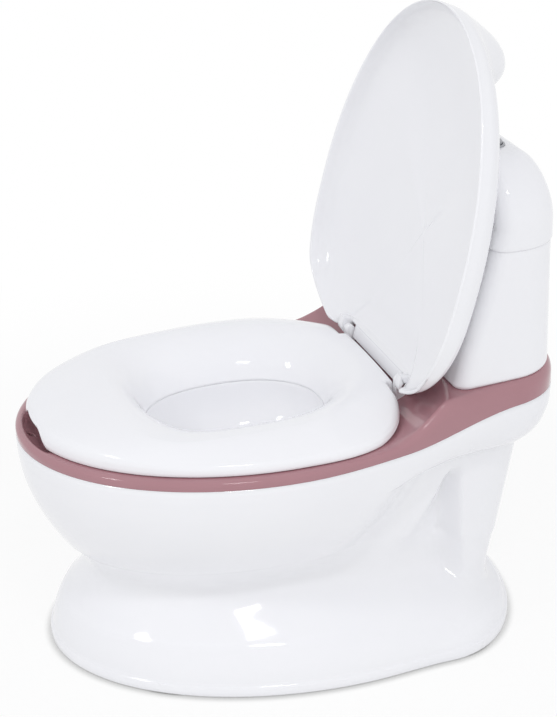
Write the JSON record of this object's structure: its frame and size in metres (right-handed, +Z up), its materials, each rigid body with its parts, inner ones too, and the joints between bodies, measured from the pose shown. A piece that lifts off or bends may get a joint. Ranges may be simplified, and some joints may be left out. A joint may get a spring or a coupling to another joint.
{
  "type": "potty chair",
  "caption": "Toddler potty chair shaped like a small toilet: bowl on a domed foot, hinged lid, lift-off seat and pot, and a tank with a push button.",
  "frame": {"origin": "on the floor under the middle of the deck", "axes": "+Z up, the bowl's front toward -Y, +X to the right seen from the front"},
  "size_m": [0.286, 0.41, 0.4863],
  "materials": {
    "white_plastic": "gloss moulded",
    "pink_plastic": "gloss moulded",
    "silver_plastic": "satin",
    "grey_rubber": "matte",
    "steel": "plain"
  },
  "bodies": {
    "chair": {"base_shell": "white_plastic", "foot_pad_1": "grey_rubber", "foot_pad_2": "grey_rubber", "foot_pad_3": "grey_rubber", "foot_pad_4": "grey_rubber", "deck": "pink_plastic", "deck_screws": "steel", "hinge_pin_left": "steel", "hinge_pin_right": "steel", "tank": "white_plastic", "tank_screws": "steel", "tank_cover": "white_plastic", "button_bezel": "silver_plastic"},
    "lid": {"lid": "white_plastic"},
    "pot": {"pot": "white_plastic"},
    "seat": {"seat": "white_plastic"},
    "button": {"flush_button": "silver_plastic", "button_keeper": "silver_plastic"}
  },
  "joints": [
    {"name": "lid_hinge", "type": "hinge", "parent": "chair", "child": "lid", "pos_m": [0, 0.083, 0.207], "axis": [1, 0, 0], "range_deg": [0, 105]},
    {"name": "pot_lift", "type": "slide", "parent": "chair", "child": "pot", "axis": [0, 0, 1], "range_m": [0, 0.2]},
    {"name": "seat_lift", "type": "slide", "parent": "pot", "child": "seat", "axis": [0, 0, 1], "range_m": [0, 0.12]},
    {"name": "button_press", "type": "slide", "parent": "chair", "child": "button", "axis": [0, 0, -1], "range_m": [0, 0.0025], "stiffness_N_per_m": 400, "springref_m": -0.002}
  ]
}
